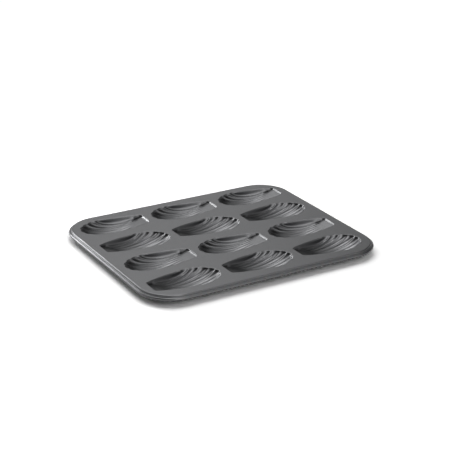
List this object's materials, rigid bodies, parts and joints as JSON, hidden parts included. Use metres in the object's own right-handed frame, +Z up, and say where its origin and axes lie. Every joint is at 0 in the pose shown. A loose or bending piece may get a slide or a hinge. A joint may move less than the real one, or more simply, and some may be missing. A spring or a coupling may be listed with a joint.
{
  "type": "madeleine pan",
  "caption": "Flat coated steel baking pan with rows of fluted shell moulds, and a rim rolled round a wire.",
  "frame": {"origin": "under the middle of the pan, in the plane on which its moulds stand", "axes": "+X along the long side, +Y towards the back row of moulds, +Z up out of the moulds"},
  "size_m": [0.292, 0.245, 0.0121],
  "materials": {
    "non_stick_coating": "satin dark grey non-stick coating on steel sheet",
    "wire_steel": "plain drawn steel wire"
  },
  "bodies": {
    "root": {"pan_sheet": "non_stick_coating", "rim_wire": "wire_steel"}
  },
  "joints": []
}
